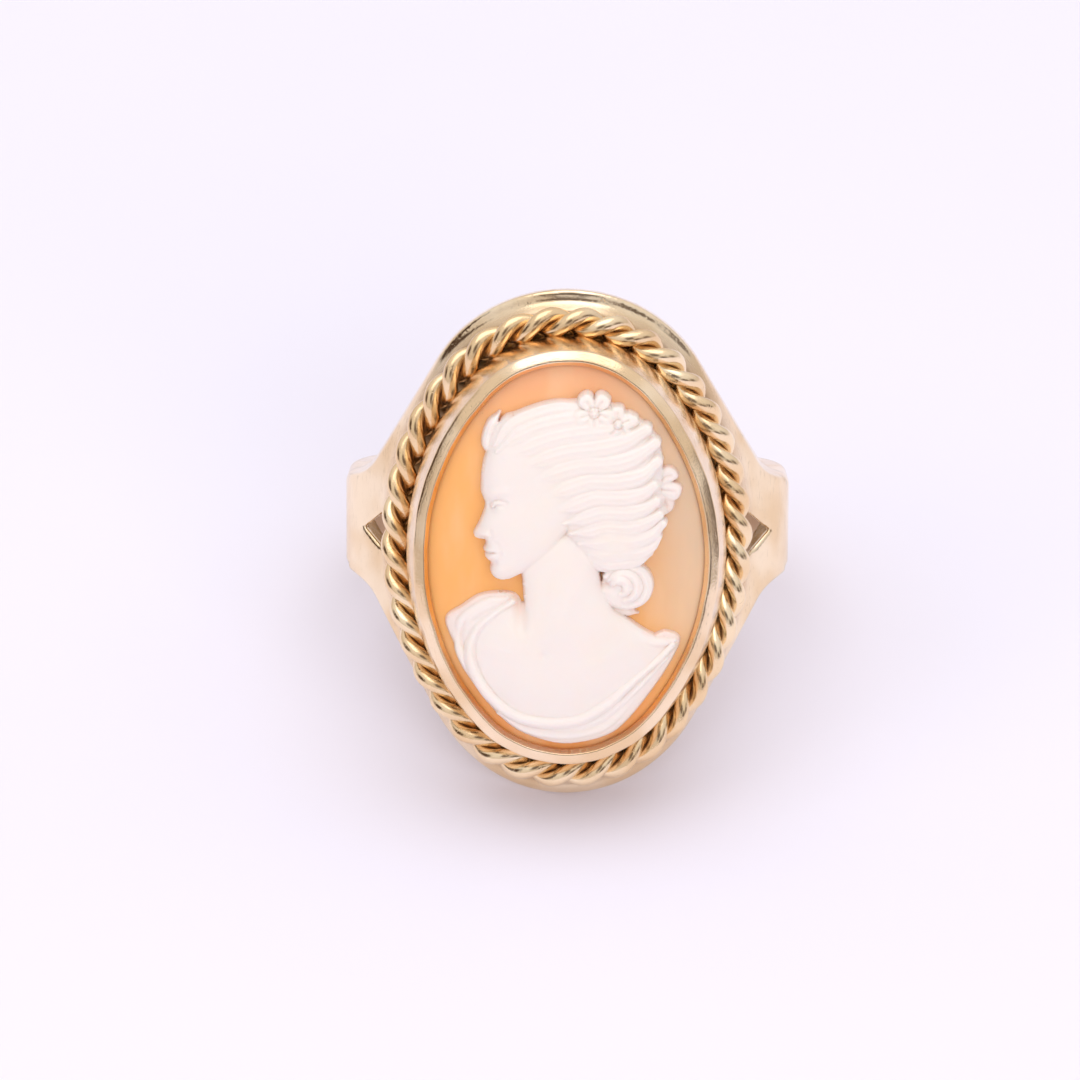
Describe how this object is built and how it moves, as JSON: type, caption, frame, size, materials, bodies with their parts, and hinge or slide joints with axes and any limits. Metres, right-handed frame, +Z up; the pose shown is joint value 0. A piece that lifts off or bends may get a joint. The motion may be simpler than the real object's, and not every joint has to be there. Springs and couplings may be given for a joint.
{
  "type": "cameo ring",
  "caption": "Gold finger ring with an oval shell cameo of a draped bust in profile, a tall bezel, a twisted rope border and split shoulders, lying on its side.",
  "frame": {"origin": "bottom centre of the ring as it rests on its side, face to the front", "axes": "+X to the right across the finger, +Y away from the face towards the back of the band, +Z up"},
  "size_m": [0.0206, 0.0264, 0.0209],
  "materials": {
    "gold": "polished 9 ct yellow gold, worn soft, with fine scratches and a little dirt in the corners",
    "gold_wire": "twisted gold wire, bright on its crests and dark between the turns",
    "shell_ground": "polished orange-brown shell, clouded paler towards one side",
    "shell_relief": "carved ivory-white shell, pinkish where it is thin"
  },
  "bodies": {
    "root": {"gold_mount": "gold", "rope_strand_a": "gold_wire", "rope_strand_b": "gold_wire", "cameo_ground": "shell_ground", "cameo_relief": "shell_relief"}
  },
  "joints": []
}
